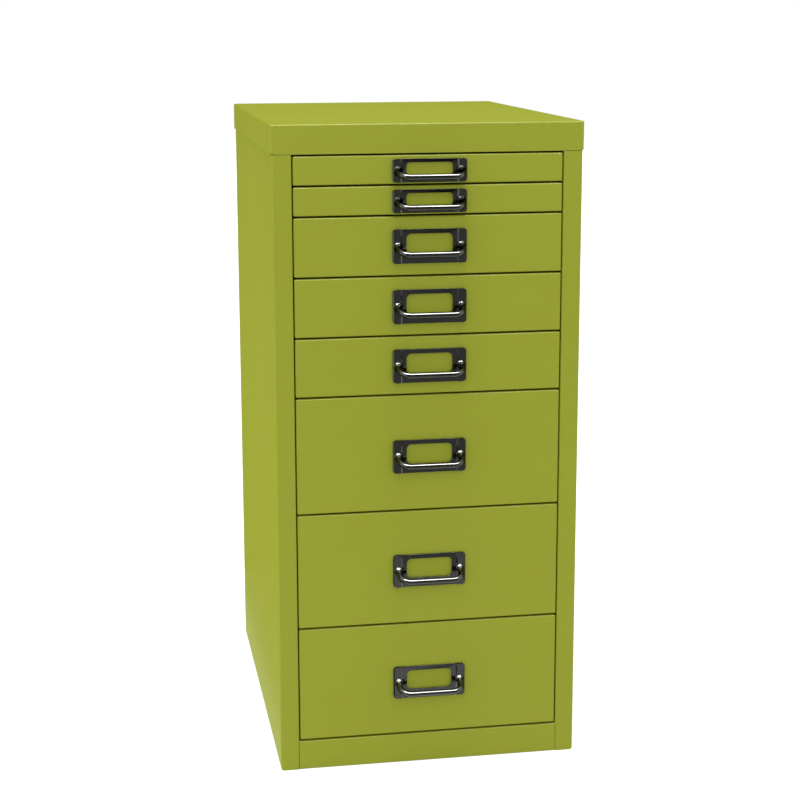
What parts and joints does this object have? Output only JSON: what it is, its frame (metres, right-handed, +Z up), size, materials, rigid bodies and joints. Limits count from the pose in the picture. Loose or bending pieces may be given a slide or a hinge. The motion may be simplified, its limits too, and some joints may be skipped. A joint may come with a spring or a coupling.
{
  "type": "multi-drawer cabinet",
  "caption": "Free-standing slim steel cabinet with shallow, medium and deep drawers, each pulled out by a chrome label-frame handle.",
  "frame": {"origin": "on the floor, under the middle of the cabinet's body, at the underside of the base pan", "axes": "+X to the right as seen from the front, +Y towards the back, +Z up; the drawers open along -Y"},
  "size_m": [0.279, 0.401, 0.59],
  "materials": {
    "green_paint": "satin stoved paint, yellow-green",
    "bright_chrome": "polished plate over a casting",
    "zinc_plate": "bright zinc plate"
  },
  "bodies": {
    "carcass": {"top_cap": "green_paint", "header_rail": "green_paint", "side_panel_left": "green_paint", "side_panel_right": "green_paint", "back_panel": "green_paint", "base_pan": "green_paint", "front_rail": "green_paint", "rear_upright_left": "green_paint", "rear_upright_right": "green_paint", "runner_left_1": "green_paint", "runner_right_1": "green_paint", "runner_left_2": "green_paint", "runner_right_2": "green_paint", "runner_left_3": "green_paint", "runner_right_3": "green_paint", "runner_left_4": "green_paint", "runner_right_4": "green_paint", "runner_left_5": "green_paint", "runner_right_5": "green_paint", "runner_left_6": "green_paint", "runner_right_6": "green_paint", "runner_left_7": "green_paint", "runner_right_7": "green_paint", "runner_left_8": "green_paint", "runner_right_8": "green_paint"},
    "drawer_1": {"drawer_1_front": "green_paint", "drawer_1_tray": "green_paint", "drawer_1_handle": "bright_chrome", "drawer_1_screws": "zinc_plate"},
    "drawer_2": {"drawer_2_front": "green_paint", "drawer_2_tray": "green_paint", "drawer_2_handle": "bright_chrome", "drawer_2_screws": "zinc_plate"},
    "drawer_3": {"drawer_3_front": "green_paint", "drawer_3_tray": "green_paint", "drawer_3_handle": "bright_chrome", "drawer_3_screws": "zinc_plate"},
    "drawer_4": {"drawer_4_front": "green_paint", "drawer_4_tray": "green_paint", "drawer_4_handle": "bright_chrome", "drawer_4_screws": "zinc_plate"},
    "drawer_5": {"drawer_5_front": "green_paint", "drawer_5_tray": "green_paint", "drawer_5_handle": "bright_chrome", "drawer_5_screws": "zinc_plate"},
    "drawer_6": {"drawer_6_front": "green_paint", "drawer_6_tray": "green_paint", "drawer_6_handle": "bright_chrome", "drawer_6_screws": "zinc_plate"},
    "drawer_7": {"drawer_7_front": "green_paint", "drawer_7_tray": "green_paint", "drawer_7_handle": "bright_chrome", "drawer_7_screws": "zinc_plate"},
    "drawer_8": {"drawer_8_front": "green_paint", "drawer_8_tray": "green_paint", "drawer_8_handle": "bright_chrome", "drawer_8_screws": "zinc_plate"}
  },
  "joints": [
    {"name": "drawer_1_slide", "type": "slide", "parent": "carcass", "child": "drawer_1", "axis": [0, -1, 0], "range_m": [0, 0.2675]},
    {"name": "drawer_2_slide", "type": "slide", "parent": "carcass", "child": "drawer_2", "axis": [0, -1, 0], "range_m": [0, 0.2675]},
    {"name": "drawer_3_slide", "type": "slide", "parent": "carcass", "child": "drawer_3", "axis": [0, -1, 0], "range_m": [0, 0.2675]},
    {"name": "drawer_4_slide", "type": "slide", "parent": "carcass", "child": "drawer_4", "axis": [0, -1, 0], "range_m": [0, 0.2675]},
    {"name": "drawer_5_slide", "type": "slide", "parent": "carcass", "child": "drawer_5", "axis": [0, -1, 0], "range_m": [0, 0.2675]},
    {"name": "drawer_6_slide", "type": "slide", "parent": "carcass", "child": "drawer_6", "axis": [0, -1, 0], "range_m": [0, 0.2675]},
    {"name": "drawer_7_slide", "type": "slide", "parent": "carcass", "child": "drawer_7", "axis": [0, -1, 0], "range_m": [0, 0.2675]},
    {"name": "drawer_8_slide", "type": "slide", "parent": "carcass", "child": "drawer_8", "axis": [0, -1, 0], "range_m": [0, 0.2675]}
  ]
}
